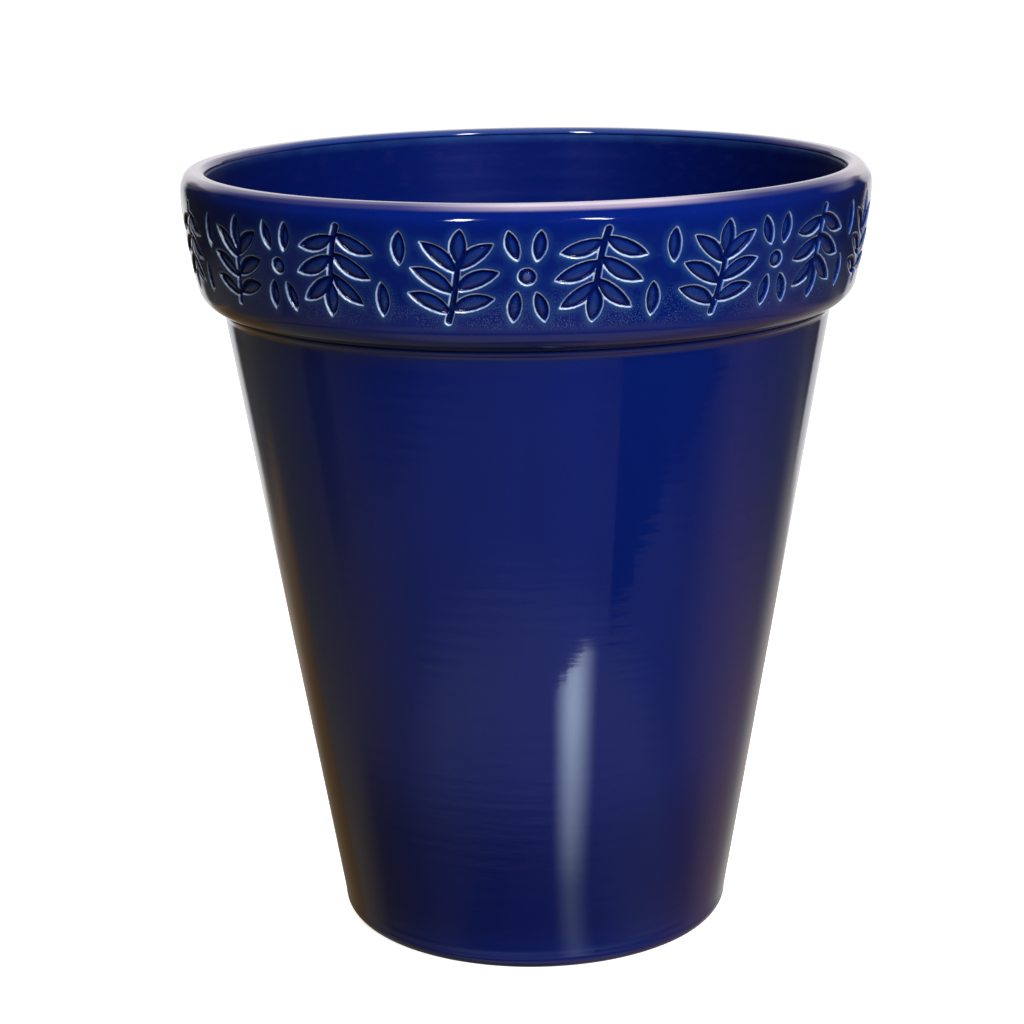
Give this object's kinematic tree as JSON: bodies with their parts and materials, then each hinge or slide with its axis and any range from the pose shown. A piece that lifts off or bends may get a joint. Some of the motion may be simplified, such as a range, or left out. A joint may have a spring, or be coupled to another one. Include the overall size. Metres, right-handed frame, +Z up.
{
  "type": "glazed terracotta plant pot",
  "caption": "Tall tapered terracotta plant pot with a heavy collared rim, a leaf frieze, a cobalt glaze inside and out, an unglazed foot ring and a central drain hole.",
  "frame": {"origin": "centre of the foot, on the ground plane", "axes": "+Z up the pot's axis, from the foot to the mouth; +X and +Y are equal, because the pot is round"},
  "size_m": [0.3, 0.3, 0.342],
  "materials": {
    "bare_clay": "matte fired terracotta",
    "outer_glaze": "glossy cobalt glaze",
    "collar_glaze": "glossy cobalt glaze that breaks pale over the frieze's edges",
    "inner_glaze": "glossy cobalt glaze"
  },
  "bodies": {
    "root": {"clay_body": "bare_clay", "rim_collar": "bare_clay", "luting_coil": "bare_clay", "outer_glaze": "outer_glaze", "collar_glaze": "collar_glaze", "inner_glaze": "inner_glaze"}
  },
  "joints": []
}
